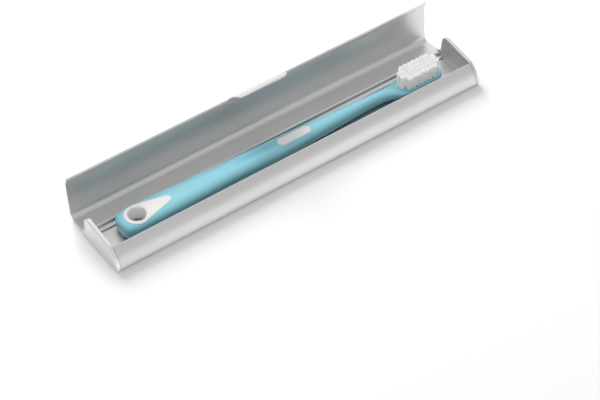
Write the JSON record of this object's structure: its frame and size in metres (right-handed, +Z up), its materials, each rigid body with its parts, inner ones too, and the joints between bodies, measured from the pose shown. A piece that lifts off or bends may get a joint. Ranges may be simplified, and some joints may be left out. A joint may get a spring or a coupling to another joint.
{
  "type": "toothbrush travel case",
  "caption": "Slim extruded aluminium toothbrush case with a hinged lid, a snap tongue and flat end plates, holding a manual toothbrush.",
  "frame": {"origin": "middle of the tray's flat base, halfway along the case", "axes": "+X along the case from the loop end of the brush to its head, -Y towards the bulging front with the catch, +Z up"},
  "size_m": [0.2124, 0.0445, 0.0318],
  "materials": {
    "satin_aluminium": "bead-blasted and clear anodised, satin",
    "blue_plastic": "glossy moulded plastic",
    "white_soft_plastic": "smooth soft-touch elastomer",
    "bristle_nylon": "drawn nylon filament"
  },
  "bodies": {
    "tray": {"tray_shell": "satin_aluminium", "left_end_plate": "satin_aluminium", "right_end_plate": "satin_aluminium", "catch_nib": "satin_aluminium"},
    "lid": {"lid_shell": "satin_aluminium"},
    "toothbrush": {"brush_handle": "blue_plastic", "loop_insert": "white_soft_plastic", "thumb_inset": "white_soft_plastic", "tuft_row_1": "bristle_nylon", "tuft_row_2": "bristle_nylon", "tuft_row_3": "bristle_nylon", "tuft_row_4": "bristle_nylon", "tuft_row_5": "bristle_nylon", "tuft_row_6": "bristle_nylon", "tuft_row_7": "bristle_nylon", "tuft_row_8": "bristle_nylon", "tuft_row_9": "bristle_nylon"}
  },
  "joints": [
    {"name": "lid_hinge", "type": "hinge", "parent": "tray", "child": "lid", "pos_m": [0, 0.0155, 0.0017], "axis": [1, 0, 0], "range_deg": [0, 103]},
    {"name": "toothbrush_lift", "type": "slide", "parent": "tray", "child": "toothbrush", "axis": [0, 0, 1], "range_m": [0, 0.06]}
  ]
}
